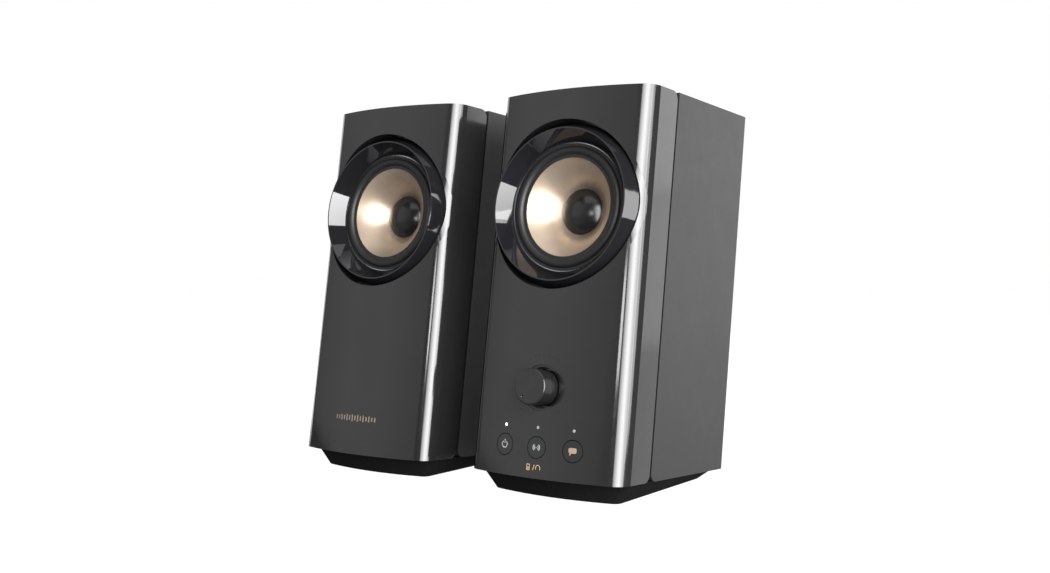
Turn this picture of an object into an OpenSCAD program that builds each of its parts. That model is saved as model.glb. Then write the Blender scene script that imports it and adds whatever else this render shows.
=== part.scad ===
// A pair of desktop loudspeakers. The right one holds the controls and the
// amplifier, and the left one is its satellite. Both lean back on a plinth.
// x runs to the right, y to the rear and z up. The origin is on the desk,
// midway between the two and midway between front and rear.

/* [Cabinets] */
// Width of each speaker across its sides
body_w = 89.4; // [84:0.2:112]
// Height of the front, measured along its lean
body_h = 190; // [176:1:232]
// Depth of each speaker, square to its front
body_d = 110.2; // [100:0.2:150]
// Lean of the front towards the rear, in degrees
lean = 8.5; // [0:0.5:12]
// Fall of the top and the bottom towards the rear, in degrees
fall = 3.4; // [0:0.2:5]
// Wall thickness of the front shell and of the cabinet
wall = 3; // [2:0.1:4]
// How far the front bulges forward at its middle
bulge = 7.3; // [5:0.1:9]
// Radius of the upright corners of the front
corner_r = 9.5; // [6:0.1:12]
// Depth of the front shell at its sides
shell_d = 31.5; // [28:0.5:38]
// Gap between the front shell and the cabinet
seam_gap = 1.3; // [0.8:0.1:2]
// Radius of the edges beside that gap at top and bottom
seam_r = 4.5; // [1:0.1:6]
// Radius of the cabinet's upright rear edges
rear_r = 3; // [3:0.1:6]
// Radius of the cabinet's rear edges at top and bottom
rear_edge_r = 3; // [2:0.1:4]
// Depth of the seal frame behind the gap
seal_d = 16; // [10:1:20]
// Thickness of the seal frame
seal_t = 1.6; // [1:0.1:3]
// Distance between the middles of the two speakers
pair_pitch = 118.2; // [116:0.2:200]

/* [Plinths and feet] */
// Height of the front's lower edge above the desk
front_z = 11.4; // [9:0.1:20]
// Width of the plinth at the desk
plinth_w = 72.4; // [50:0.2:80]
// Distance of the plinth's front behind the speaker's front, at the desk
plinth_front = 12.7; // [4:0.1:20]
// Length of the plinth at the desk
plinth_d = 88; // [60:0.1:93]
// Height of the rubber feet
foot_h = 0.5; // [0.5:0.1:2]
// Radius of the rubber feet
foot_r = 5; // [3:0.5:8]

/* [Drive units] */
// Height of the drive unit's axis up the front
driver_u = 132.8; // [120:0.2:136]
// Radius of the trim ring at its bright rim
rim_r = 38.05; // [37:0.05:40]
// Outer radius of the trim ring
ring_r = 41.4; // [40:0.1:42]
// Gap around the trim ring
ring_gap = 0.6; // [0.3:0.1:1.5]
// Depth over which the ring's outer band slopes back from the bright rim
band_d = 7.4; // [4:0.1:9]
// Depth of the drive unit's flange behind the front
flange_d = 9.6; // [9:0.1:12]
// Outer radius of the flange
flange_r = 37.8; // [36:0.1:38]
// Thickness of the flange
flange_t = 1.7; // [1.2:0.1:2.5]
// Radius at which the surround leaves the flange
surround_r = 30.6; // [29:0.1:31]
// Thickness of the rubber surround
surround_t = 0.6; // [0.4:0.1:1]
// Outer radius of the cone
cone_r = 26; // [23:0.1:27]
// Depth of the cone, from its rim to its neck
cone_depth = 16.4; // [13:0.1:18]
// Radius of the curve in which the cone flares from its neck to its rim
cone_flare_r = 40; // [34:1:80]
// Thickness of the cone
cone_t = 0.5; // [0.3:0.1:1]
// Radius of the dust cap
cap_r = 11.8; // [10.6:0.1:14]
// Rise of the dust cap
cap_rise = 4.5; // [2:0.1:6]
// Inner radius of the voice coil's former
former_r = 9.9; // [8:0.1:10.4]
// Thickness of the former's wall
former_t = 0.2; // [0.1:0.05:0.4]
// Thickness of the winding
winding_t = 0.6; // [0.3:0.1:1]
// Play between the voice coil and the iron around it
coil_play = 0.4; // [0.3:0.05:0.6]
// Outer radius of the ferrite magnet
magnet_r = 25; // [22:0.5:30]
// Thickness of the ferrite magnet
magnet_t = 10.5; // [8:0.5:14]
// Thickness of the iron plates
iron_t = 4.5; // [3:0.1:6]
// Depth of the basket behind its flange
basket_d = 25.7; // [24:0.1:29]

/* [Controls] */
// Height of the volume knob's axis up the front
knob_u = 43.2; // [40:0.2:50]
// Radius of the volume knob
knob_r = 8.7; // [8:0.1:9]
// How far the knob stands out of the front
knob_out = 10; // [6:0.1:14]
// Radius of the well around the knob
well_r = 11.2; // [11:0.1:13]
// Depth of the well's floor
well_d = 5; // [5:0.1:6]
// Radius of the knob's shaft
shaft_r = 3; // [2.5:0.1:3.2]
// Height of the row of buttons up the front
button_u = 14.7; // [13:0.1:17]
// Radius of the buttons
button_r = 5; // [4:0.1:5.5]
// Distance from one button to the next
button_pitch = 19.7; // [17:0.1:21]
// Travel of the buttons
button_travel = 0.6; // [0.3:0.1:1]
// Gap around each button
button_gap = 0.4; // [0.3:0.05:0.6]
// Height of the row of indicator lights up the front
light_u = 24.2; // [23:0.1:26]
// Radius of the indicator lights
light_r = 0.75; // [0.5:0.05:1]

/* [Rear and electronics] */
// Thickness of the rear panel
panel_t = 3; // [2:0.1:4]
// Recess of the rear panel in the cabinet
panel_in = 1; // [0.5:0.1:2]
// Height of the port's axis up the front
port_u = 150; // [140:1:160]
// Inner radius of the port
port_r = 12; // [8:0.5:14]
// Length of the port
port_l = 46; // [20:1:47]
// Thickness of the circuit boards
board_t = 1.6; // [1:0.1:2]
// Height of the amplifier board up the front
board_u = 24; // [22:0.5:28]
// Distance of the outer sockets from the middle one
socket_pitch = 20; // [16:0.5:22]
// Radius of the 3.5 mm sockets' bores
jack_bore_r = 1.8; // [1.75:0.01:1.9]
// Radius of the power inlet's bore
inlet_bore_r = 2.9; // [2.75:0.05:3.2]
// Radius of the screws
screw_r = 1.4; // [1:0.05:1.6]
// Length of the case screws under their heads
screw_l = 12; // [8:0.5:13]

/* [Hidden] */
$fn = 72;
FACE_FN = 180;
HULL_FN = 120;
CUT = 1;                    // how far a cutting shape runs past what it cuts
FIT = 0.05;                 // play of a screw, pin or shaft in its hole
RISE = lean - fall;         // slope of top and bottom, seen square to the front
HALF_W = body_w / 2;
FACE_R = (HALF_W * HALF_W + bulge * bulge) / (2 * bulge);
SEAM_D = shell_d + seam_gap;
PANEL_D = body_d - panel_in - panel_t;
SEAL_END = shell_d - seal_d / 2 + seal_d;
KNOB_FRONT_Y = knob_u * sin(lean) - knob_out * cos(lean);
REAR_Y = body_d * cos(lean) + (body_h + body_d * tan(RISE)) * sin(lean);
FRONT_Y = -(min(0, KNOB_FRONT_Y) + REAR_Y) / 2;
HEAD_R = screw_r + 1.2;
HEAD_T = 1.5;
HOLE_R = screw_r + FIT;
POST_R = screw_r + 2.6;
POST_X = HALF_W - wall - seal_t - POST_R - 0.2;
POST_US = [foot(SEAL_END) + wall + seal_t + POST_R + 0.4, body_h - wall - seal_t - POST_R - 0.6];
PANEL_POST_US = [foot(PANEL_D) + wall + POST_R + 1, foot(PANEL_D) + body_h - wall - POST_R - 1];
LUG_T = 3;
PANEL_POST_L = 14;
LEDGE_T = 2.5;
LEDGE_D = flange_d + flange_t;
BOSS_R = ring_r + ring_gap + 2.2;
DRIVER_SCREW_X = (surround_r + 1 + flange_r) / 2 + 0.5;
DRIVER_SCREW_L = 6;
BASKET_END = LEDGE_D + basket_d;
BASKET_T = 1.5;
BASKET_NECK_R = magnet_r;
COIL_R = former_r + former_t + winding_t;
GAP_R = COIL_R + coil_play;
POLE_R = former_r - coil_play;
NECK_R = former_r + former_t;
NECK_D = flange_d + cone_depth;
SPIDER_D = BASKET_END - 5;
SPIDER_T = 0.5;
SPIDER_R = BASKET_NECK_R - 2.5;
MAGNET_D = BASKET_END + iron_t;
COIL_OVERHANG = 1.25;
BOARD_D = 14;               // depth of the control board's front
BOARD_X = HALF_W - 15;
BOARD_US = [6, knob_u + 15];
PEG_R = 2.5;
PEG_X = BOARD_X - 3.4;
PEG_US = [BOARD_US[0] + 2.6, BOARD_US[1] - 4];
SWITCH_T = 3.1;
SWITCH_STEM = 0.5;
SWITCH_W = 6;
BUTTON_FLANGE_T = 1;
POT_R = 8;
POT_D = well_d + 3.5;
NUT_R = 5;
NUT_T = 1.5;
NOSE = 1.8;                 // how far the potentiometer's bush passes the well's floor
SHAFT_END = BOARD_D - 1.8;
SOCKET_H = 8;
SOCKET_L = 11;
SOCKET_U = board_u + board_t + SOCKET_H / 2;
SOCKET_NOSE_R = 3.4;
INLET_NOSE_R = 4.2;
INLET_PIN_R = 0.9;
AMP_X = HALF_W - wall - 9;
AMP_DS = [body_d - 54, PANEL_D - 1];
AMP_POST_DS = [AMP_DS[0] + 5, AMP_DS[1] - 16];
LINK_X = 12;
LINK_DS = [PANEL_D - 27, PANEL_D - 1];
PORT_T = 1.7;
PORT_LIP = 3.3;
PORT_LIP_T = 0.8;
LEAD_R = 0.8;
LEAD_X = 5;

NODES = [
    "right_front_shell", "right_cabinet", "right_seam_seal", "right_rear_panel", "right_port_tube",
    "right_plinth", "right_feet", "right_trim_ring", "right_basket", "right_surround", "right_cone",
    "right_dust_cap", "right_voice_coil", "right_spider", "right_top_plate", "right_magnet",
    "right_back_plate", "right_driver_screws", "right_case_screws", "right_driver_leads",
    "knob_well", "volume_knob", "knob_shaft", "potentiometer", "potentiometer_nut",
    "power_button", "surround_mode_button", "voice_mode_button", "indicator_lights",
    "control_board", "button_switches", "amplifier_board", "heatsink", "capacitors",
    "power_inlet", "audio_sockets",
    "left_front_shell", "left_cabinet", "left_seam_seal", "left_rear_panel", "left_port_tube",
    "left_plinth", "left_feet", "left_trim_ring", "left_basket", "left_surround", "left_cone",
    "left_dust_cap", "left_voice_coil", "left_spider", "left_top_plate", "left_magnet",
    "left_back_plate", "left_driver_screws", "left_case_screws", "left_driver_leads",
    "link_board", "link_socket",
];
node = "all";

// ---- Places ----

RIGHT = 1;
LEFT = -1;

// Height of the bottom face above the front's lower edge, at depth d.
function foot(d) = d * tan(RISE);

// Depth of the bulging front at x from its middle.
function face_d(x) = FACE_R - sqrt(FACE_R * FACE_R - x * x);

// Depth of the front wall's inner side at x from its middle.
function inner_d(x) = FACE_R - sqrt(pow(FACE_R - wall, 2) - x * x);

function unit(v) = v / norm(v);

// A speaker's own frame: x across, y into its depth square to the front, z up the front.
module speaker(side) {
    translate([side * pair_pitch / 2, FRONT_Y, front_z])
        rotate([-lean, 0, 0])
            children();
}

// An axis square to the front at x and u, with z running into the depth.
module axis(x, u, d = 0) {
    translate([x, d, u])
        rotate([-90, 0, 0])
            children();
}

module on_driver(side) {
    speaker(side)
        axis(0, driver_u)
            children();
}

// The posts that hold the front shell, and those that hold the rear panel.
module each_case_post() {
    for (x = [-POST_X, POST_X], u = POST_US)
        axis(x, u)
            children();
}

module each_panel_post() {
    for (x = [-POST_X, POST_X], u = PANEL_POST_US)
        axis(x, u)
            children();
}

module each_button_axis(u) {
    for (k = [-1 : 1])
        axis(k * button_pitch, u)
            children();
}

// ---- Outlines ----

// What a rounding of radius r takes off the corner p between two neighbours.
module corner_waste(p, before, after, r) {
    a = unit(before - p);
    b = unit(after - p);
    half = acos(a * b) / 2;
    c = p + unit(a + b) * r / sin(half);
    t = r / tan(half);
    difference() {
        polygon([c, c + (p + a * t - c) * 1.2, p + (p - c) * 0.3, c + (p + b * t - c) * 1.2]);
        translate(c)
            circle(r = r);
    }
}

// A polygon with a radius for each of its corners.
module rounded(points, radii) {
    n = len(points);
    difference() {
        polygon(points);
        for (k = [0 : n - 1])
            if (radii[k] > 0)
                corner_waste(points[k], points[(k + n - 1) % n], points[(k + 1) % n], radii[k]);
    }
}

// The front shell seen from above, its walls moved in by inset.
module shell_plan(inset) {
    half = HALF_W - inset;
    r = corner_r - inset;
    to_corner = [half - r, -sqrt(pow(FACE_R - corner_r, 2) - pow(half - r, 2))];
    c = [0, FACE_R] + to_corner;
    out = c + (r + 2) * unit(to_corner);
    difference() {
        intersection() {
            translate([0, FACE_R])
                circle(r = FACE_R - inset, $fn = FACE_FN);
            translate([-half, 0])
                square([2 * half, body_d]);
        }
        for (m = [0, 1])
            mirror([m, 0])
                difference() {
                    polygon([c, [half + CUT, c[1]], [half + CUT, -CUT], [out[0], -CUT], out]);
                    translate(c)
                        circle(r = r);
                }
    }
}

// The cabinet seen from above.
module cabinet_plan(inset, d0, d1) {
    half = HALF_W - inset;
    rounded([[-half, d0], [half, d0], [half, d1], [-half, d1]],
            [0, 0, rear_r, rear_r]);
}

// A block between depths d0 and d1, with sloping top and bottom moved in by inset.
// The corners are rounded in the order front bottom, rear bottom, rear top, front top.
module sloped_block(inset, d0, d1, radii = [0, 0, 0, 0]) {
    in = inset / cos(RISE);
    intersection() {
        translate([0, 0, -body_h])
            linear_extrude(3 * body_h)
                children();
        rotate([90, 0, 90])
            translate([0, 0, -body_w])
                linear_extrude(2 * body_w)
                    rounded([[d0, foot(d0) + in], [d1, foot(d1) + in],
                             [d1, body_h + foot(d1) - in], [d0, body_h + foot(d0) - in]], radii);
    }
}

// ---- Cases ----

module shell_block() {
    sloped_block(0, 0, shell_d, [0, seam_r, seam_r, 0])
        shell_plan(0);
}

// Shell with the front bulge, the recess for the drive unit and the posts for the cabinet.
module front_shell(side) {
    speaker(side)
        difference() {
            union() {
                difference() {
                    shell_block();
                    sloped_block(wall, 0, shell_d + CUT)
                        shell_plan(wall);
                }
                intersection() {
                    shell_block();
                    axis(0, driver_u)
                        cylinder(r = BOSS_R, h = LEDGE_D + LEDGE_T);
                }
                each_case_post()
                    translate([0, 0, face_d(POST_X) + wall / 2])
                        cylinder(r = POST_R, h = SEAL_END - face_d(POST_X) - wall / 2);
                if (side == RIGHT)
                    board_pegs();
            }
            axis(0, driver_u) {
                translate([0, 0, -CUT])
                    cylinder(r = ring_r + ring_gap, h = LEDGE_D + CUT);
                cylinder(r = surround_r + 1, h = LEDGE_D + LEDGE_T + CUT);
                for (k = [0 : 3])
                    rotate([0, 0, 45 + 90 * k])
                        translate([DRIVER_SCREW_X, 0, 0])
                            cylinder(r = HOLE_R, h = LEDGE_D + LEDGE_T + CUT);
            }
            each_case_post()
                translate([0, 0, SEAL_END - screw_l])
                    cylinder(r = HOLE_R, h = screw_l + CUT);
            if (side == RIGHT)
                control_holes();
        }
}

// Pegs that locate and hold the control board behind the front.
module board_pegs() {
    for (x = [-PEG_X, PEG_X], u = PEG_US)
        axis(x, u) {
            translate([0, 0, face_d(x) + wall / 2])
                cylinder(r = PEG_R, h = BOARD_D - face_d(x) - wall / 2);
            translate([0, 0, BOARD_D - CUT])
                cylinder(r = PEG_R / 2, h = board_t + CUT + 1);
        }
}

module control_holes() {
    axis(0, knob_u)
        translate([0, 0, -CUT])
            cylinder(r = well_r, h = wall + 2 * CUT);
    each_button_axis(button_u)
        translate([0, 0, -CUT])
            cylinder(r = button_r + button_gap, h = 2 * wall + face_d(button_pitch) + CUT);
    each_button_axis(light_u)
        translate([0, 0, -CUT])
            cylinder(r = light_r + FIT, h = 2 * wall + face_d(button_pitch) + CUT);
}

// Open frame of four walls, with lugs for the shell's posts and posts for the rear panel.
module cabinet(side) {
    speaker(side)
        difference() {
            union() {
                difference() {
                    sloped_block(0, SEAM_D, body_d, [seam_r, rear_edge_r, rear_edge_r, 0])
                        cabinet_plan(0, SEAM_D, body_d);
                    sloped_block(wall, SEAM_D - CUT, body_d + CUT)
                        translate([wall - HALF_W, SEAM_D - CUT])
                            square([body_w - 2 * wall, body_d - SEAM_D + 2 * CUT]);
                }
                for (m = [0, 1], u = POST_US)
                    mirror([m, 0, 0])
                        translate([POST_X - POST_R, SEAL_END, u - POST_R])
                            cube([HALF_W - wall / 2 - POST_X + POST_R, LUG_T, 2 * POST_R]);
                for (m = [0, 1], u = PANEL_POST_US)
                    mirror([m, 0, 0])
                        translate([POST_X - POST_R, PANEL_D - PANEL_POST_L, u - POST_R])
                            cube([HALF_W - wall / 2 - POST_X + POST_R, PANEL_POST_L, 2 * POST_R]);
                board_posts(side);
            }
            each_case_post()
                translate([0, 0, SEAL_END - CUT])
                    cylinder(r = HOLE_R, h = LUG_T + 2 * CUT);
            each_panel_post()
                translate([0, 0, PANEL_D - screw_l])
                    cylinder(r = HOLE_R, h = screw_l + CUT);
            each_board_post(side)
                translate([0, 0, -screw_l])
                    cylinder(r = HOLE_R, h = screw_l + board_t);
        }
}

// The upright axes of the screws that hold a circuit board in the cabinet.
module each_board_post(side) {
    xs = side == RIGHT ? [-AMP_X + 4, AMP_X - 4] : [-LINK_X + 4, LINK_X - 4];
    ds = side == RIGHT ? AMP_POST_DS : [LINK_DS[0] + 4];
    for (x = xs, d = ds)
        translate([x, d, board_u])
            children();
}

module board_posts(side) {
    h = board_u - wall / 2;
    intersection() {
        each_board_post(side)
            translate([0, 0, -h])
                cylinder(r = POST_R - 0.6, h = h);
        sloped_block(wall / 2, SEAM_D, PANEL_D)
            square([body_w, 2 * body_d], center = true);
    }
}

// Soft dark frame that bridges the gap from inside and seals the box.
module seam_seal(side) {
    start = shell_d - seal_d / 2;
    speaker(side)
        difference() {
            sloped_block(wall, start, SEAL_END)
                translate([wall - HALF_W, start])
                    square([body_w - 2 * wall, seal_d]);
            sloped_block(wall + seal_t, start - CUT, SEAL_END + CUT)
                square([body_w - 2 * (wall + seal_t), 3 * body_d], center = true);
        }
}

// Flat panel in the cabinet's open rear, with the port and the sockets in it.
module rear_panel(side) {
    edge = wall + 0.15;
    speaker(side)
        difference() {
            sloped_block(edge, PANEL_D, PANEL_D + panel_t)
                translate([edge - HALF_W, PANEL_D])
                    square([body_w - 2 * edge, panel_t]);
            each_panel_post()
                translate([0, 0, PANEL_D - CUT])
                    cylinder(r = HOLE_R, h = panel_t + 2 * CUT);
            axis(0, port_u, PANEL_D - CUT)
                cylinder(r = port_r + PORT_T + FIT, h = panel_t + 2 * CUT);
            axis(0, SOCKET_U, PANEL_D - CUT)
                cylinder(r = SOCKET_NOSE_R + FIT, h = panel_t + 2 * CUT);
            if (side == RIGHT) {
                axis(socket_pitch, SOCKET_U, PANEL_D - CUT)
                    cylinder(r = SOCKET_NOSE_R + FIT, h = panel_t + 2 * CUT);
                axis(-socket_pitch, SOCKET_U, PANEL_D - CUT)
                    cylinder(r = INLET_NOSE_R + FIT, h = panel_t + 2 * CUT);
            }
        }
}

// Bass tube with a flared lip on the outside of the rear panel.
module port_tube(side) {
    out_d = PANEL_D + panel_t;
    speaker(side)
        axis(0, port_u)
            rotate_extrude()
                difference() {
                    union() {
                        translate([port_r, out_d - port_l])
                            square([PORT_T, port_l + PORT_LIP_T]);
                        translate([port_r, out_d])
                            square([PORT_T + PORT_LIP, PORT_LIP_T]);
                    }
                    translate([0, out_d + PORT_LIP_T - PORT_T])
                        polygon([[0, 0], [port_r, 0], [port_r + PORT_T, PORT_T],
                                 [port_r + PORT_T, PORT_T + CUT], [0, PORT_T + CUT]]);
                }
}

// A plinth's outline with its front bowed by the given amount and its corners rounded.
module plinth_outline(w, l, bow, r) {
    bow_r = (w * w / 4 + bow * bow) / (2 * bow);
    offset(r = r)
        offset(delta = -r)
            intersection() {
                translate([0, bow_r])
                    circle(r = bow_r, $fn = HULL_FN);
                translate([-w / 2, 0])
                    square([w, l]);
            }
}

// Solid foot whose sides draw in from the speaker's bottom to the desk.
module plinth(side) {
    skin = 0.2;
    top_w = body_w - 3;
    top_front = plinth_front - 4;
    top_l = plinth_d + 4;
    translate([side * pair_pitch / 2, FRONT_Y, 0])
        hull() {
            translate([0, plinth_front, foot_h])
                linear_extrude(skin)
                    plinth_outline(plinth_w, plinth_d, bulge * 0.65, 4);
            translate([0, 0, front_z])
                rotate([-fall, 0, 0])
                    translate([0, top_front, -skin])
                        linear_extrude(skin)
                            plinth_outline(top_w, top_l, bulge * 0.9, 4);
        }
}

module feet(side) {
    x = plinth_w / 2 - foot_r - 4;
    translate([side * pair_pitch / 2, FRONT_Y + plinth_front, 0])
        for (sx = [-x, x], y = [foot_r + 8, plinth_d - foot_r - 5])
            translate([sx, y, 0])
                cylinder(r = foot_r, h = foot_h);
}

// ---- Drive units ----

// Gloss ring: a sloping outer band, a flat bright rim and a funnel down to the flange.
module trim_ring(side) {
    rim = 0.7;
    skirt_r = flange_r + 0.3;
    on_driver(side)
        rotate_extrude()
            polygon([[rim_r - rim, 0], [rim_r, 0], [ring_r, band_d], [ring_r, LEDGE_D],
                     [skirt_r, LEDGE_D], [skirt_r, flange_d], [surround_r + 2, flange_d],
                     [surround_r + 1.8, flange_d - 1]]);
}

// Pressed frame of the drive unit: flange, open conical body and floor.
module basket(side) {
    seat = surround_r;
    on_driver(side)
        difference() {
            rotate_extrude()
                polygon([[seat, flange_d], [flange_r, flange_d], [flange_r, LEDGE_D],
                         [seat + 0.6, LEDGE_D], [BASKET_NECK_R, BASKET_END - 4],
                         [BASKET_NECK_R, BASKET_END],
                         [GAP_R + 1.5, BASKET_END], [GAP_R + 1.5, BASKET_END - BASKET_T],
                         [SPIDER_R - 1.5, BASKET_END - BASKET_T], [SPIDER_R - 1.5, SPIDER_D + SPIDER_T],
                         [BASKET_NECK_R - BASKET_T, SPIDER_D + SPIDER_T],
                         [seat - 0.6, LEDGE_D]]);
            for (k = [0 : 3])
                rotate([0, 0, 90 * k]) {
                    rotate([0, 0, 45])
                        translate([DRIVER_SCREW_X, 0, 0])
                            cylinder(r = HOLE_R, h = LEDGE_D + CUT);
                    translate([BASKET_NECK_R - 6, -8, LEDGE_D + 2.5])
                        cube([14, 16, SPIDER_D - LEDGE_D - 5]);
                }
        }
}

// Half roll of rubber between the flange and the cone, with a flat lip on each side.
module surround(side) {
    mid = (cone_r + surround_r) / 2 + 0.15;
    roll = surround_r - mid + 0.05;
    lip_d = flange_d - surround_t;
    on_driver(side)
        rotate_extrude() {
            difference() {
                translate([mid, flange_d])
                    circle(r = roll);
                translate([mid, flange_d])
                    circle(r = roll - surround_t);
                translate([mid - roll - CUT, flange_d])
                    square([2 * (roll + CUT), roll + CUT]);
            }
            translate([mid + roll - 0.3, lip_d])
                square([surround_r + 1.3 - mid - roll + 0.3, surround_t]);
            translate([cone_r - 1.2, lip_d])
                square([mid - roll + 0.3 - cone_r + 1.2, surround_t]);
        }
}

// The centre of the flare, from the cone's rim, its neck and the radius between them.
CONE_RIM = [cone_r - 1.1, flange_d];
CONE_NECK = [NECK_R, NECK_D];
CONE_CHORD = CONE_NECK - CONE_RIM;
CONE_C = (CONE_RIM + CONE_NECK) / 2
    + sqrt(cone_flare_r * cone_flare_r - CONE_CHORD * CONE_CHORD / 4) * unit([CONE_CHORD[1], -CONE_CHORD[0]]);

// Depth of the cone's front at radius r.
function cone_front_d(r) = CONE_C[1] - sqrt(cone_flare_r * cone_flare_r - pow(CONE_C[0] - r, 2));

// Thin sheet that flares from the neck to a flat lip at its rim.
module cone(side) {
    on_driver(side)
        rotate_extrude() {
            intersection() {
                difference() {
                    translate(CONE_C)
                        circle(r = cone_flare_r, $fn = FACE_FN);
                    translate(CONE_C)
                        circle(r = cone_flare_r - cone_t, $fn = FACE_FN);
                }
                translate([NECK_R, flange_d])
                    square([CONE_RIM[0] + cone_t / 2 - NECK_R, cone_depth + 4 * cone_t]);
            }
            translate([CONE_RIM[0] + cone_t / 4, flange_d])
                square([cone_r - CONE_RIM[0] - cone_t / 4, cone_t]);
        }
}

// Shallow dome over the cone's neck.
module dust_cap(side) {
    dome_r = (cap_r * cap_r + cap_rise * cap_rise) / (2 * cap_rise);
    rim_d = cone_front_d(cap_r);
    on_driver(side)
        rotate_extrude()
            intersection() {
                difference() {
                    translate([0, rim_d - cap_rise + dome_r])
                        circle(r = dome_r, $fn = FACE_FN);
                    translate([0, rim_d - cap_rise + dome_r])
                        circle(r = dome_r - 0.4, $fn = FACE_FN);
                }
                translate([0, rim_d - cap_rise - CUT])
                    square([cap_r + CUT, cap_rise + CUT]);
            }
}

// Thin tube with the winding at its inner end.
module voice_coil(side) {
    mid = BASKET_END + iron_t / 2;
    half = iron_t / 2 + COIL_OVERHANG;
    on_driver(side)
        rotate_extrude() {
            translate([former_r, NECK_D - 0.3])
                square([former_t, mid + half + 1.3 - NECK_D]);
            translate([former_r, mid - half])
                square([former_t + winding_t, 2 * half]);
        }
}

// Corrugated cloth disc that centres the voice coil.
module spider(side) {
    waves = 3;
    pitch = (SPIDER_R - 2 - NECK_R) / waves;
    on_driver(side)
        rotate_extrude()
            difference() {
                translate([NECK_R + FIT, SPIDER_D - SPIDER_T])
                    square([SPIDER_R + 0.5 - NECK_R - FIT, 2 * SPIDER_T]);
                for (k = [0 : waves - 1]) {
                    translate([NECK_R + 1 + pitch * k, SPIDER_D - SPIDER_T - CUT])
                        square([pitch / 2 - 0.3, SPIDER_T + CUT]);
                    translate([NECK_R + 1 + pitch * (k + 0.5), SPIDER_D + SPIDER_T / 4])
                        square([pitch / 2 - 0.3, SPIDER_T + CUT]);
                }
            }
}

module top_plate(side) {
    on_driver(side)
        translate([0, 0, BASKET_END])
            difference() {
                cylinder(r = magnet_r - 1, h = iron_t);
                translate([0, 0, -CUT])
                    cylinder(r = GAP_R, h = iron_t + 2 * CUT);
            }
}

module magnet(side) {
    on_driver(side)
        translate([0, 0, MAGNET_D])
            difference() {
                cylinder(r = magnet_r, h = magnet_t);
                translate([0, 0, -CUT])
                    cylinder(r = GAP_R + 4, h = magnet_t + 2 * CUT);
            }
}

// Rear iron plate with the pole that stands in the voice coil.
module back_plate(side) {
    on_driver(side) {
        translate([0, 0, MAGNET_D + magnet_t])
            cylinder(r = magnet_r - 1, h = iron_t);
        translate([0, 0, BASKET_END])
            cylinder(r = POLE_R, h = iron_t + magnet_t + CUT);
    }
}

// Two insulated wires, drawn straight from the drive unit's basket to the circuit board.
module driver_leads(side) {
    start_d = BASKET_END - 2;
    end_d = side == RIGHT ? AMP_DS[0] + 14 : LINK_DS[0] + 8;
    top_u = driver_u - BASKET_NECK_R;
    drop = top_u - board_u - board_t;
    slant = atan2(end_d - start_d, drop);
    dip = LEAD_R * sin(slant);
    for (x = [-LEAD_X, LEAD_X])
        speaker(side)
            translate([x, start_d, top_u - dip])
                rotate([180 + slant, 0, 0])
                    cylinder(r = LEAD_R, h = (drop - 2 * dip) / cos(slant));
}

// ---- Screws ----

// A pan-head screw whose head sits on z = 0 and whose shank runs along z.
module screw(l) {
    translate([0, 0, -HEAD_T])
        cylinder(r = HEAD_R, h = HEAD_T);
    cylinder(r = screw_r, h = l);
}

module driver_screws(side) {
    on_driver(side)
        for (k = [0 : 3])
            rotate([0, 0, 45 + 90 * k])
                translate([DRIVER_SCREW_X, 0, flange_d + 1])
                    cylinder(r = screw_r, h = DRIVER_SCREW_L);
}

// The screws of the shell's posts, of the rear panel and of the circuit board.
module case_screws(side) {
    speaker(side) {
        each_case_post()
            translate([0, 0, SEAL_END + LUG_T])
                mirror([0, 0, 1])
                    screw(screw_l);
        each_panel_post()
            translate([0, 0, PANEL_D + panel_t - HEAD_T / 2])
                mirror([0, 0, 1])
                    translate([0, 0, -HEAD_T / 2])
                        screw(screw_l);
        each_board_post(side)
            translate([0, 0, board_t])
                mirror([0, 0, 1])
                    screw(screw_l);
    }
}

// ---- Controls of the right speaker ----

// Dish behind the front in which the knob turns.
module knob_well() {
    rim_t = 1.2;
    flange = face_d(well_r + 2.4) + wall + 0.1;
    speaker(RIGHT)
        axis(0, knob_u)
            difference() {
                union() {
                    translate([0, 0, face_d(well_r) + 0.1])
                        cylinder(r = well_r - FIT, h = well_d + 1.5 - face_d(well_r) - 0.1);
                    translate([0, 0, flange])
                        cylinder(r = well_r + 2.2, h = well_d + 1.5 - flange);
                }
                cylinder(r = well_r - rim_t, h = well_d);
                cylinder(r = shaft_r + 0.5 + FIT, h = well_d + 3);
            }
}

// Hollow turned knob with a dimple near its rim as pointer.
module volume_knob() {
    back = well_d - 0.8;
    crown = 0.8;
    skin = 1.8;
    bore_end = 2.8 - knob_out;
    speaker(RIGHT)
        axis(0, knob_u)
            difference() {
                rotate_extrude()
                    difference() {
                        rounded([[-knob_r, -knob_out], [knob_r, -knob_out], [knob_r, back], [-knob_r, back]],
                                [crown, crown, 0, 0]);
                        translate([-2 * knob_r, -2 * knob_out])
                            square([2 * knob_r, 4 * knob_out]);
                        translate([shaft_r + FIT + 1.5, skin - knob_out + 1])
                            square([knob_r - skin - shaft_r - FIT - 1.5, back + knob_out]);
                        translate([0, well_d - NOSE - 0.7])
                            square([knob_r - skin, back]);
                        translate([0, bore_end])
                            square([shaft_r + FIT / 2, back - bore_end + CUT]);
                    }
                rotate([0, 0, 128])
                    translate([knob_r - 2.4, 0, -knob_out])
                        sphere(r = 0.9, $fn = 32);
            }
}

module knob_shaft() {
    start = 3 - knob_out;
    speaker(RIGHT)
        axis(0, knob_u)
            translate([0, 0, start])
                cylinder(r = shaft_r, h = SHAFT_END - start);
}

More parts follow.
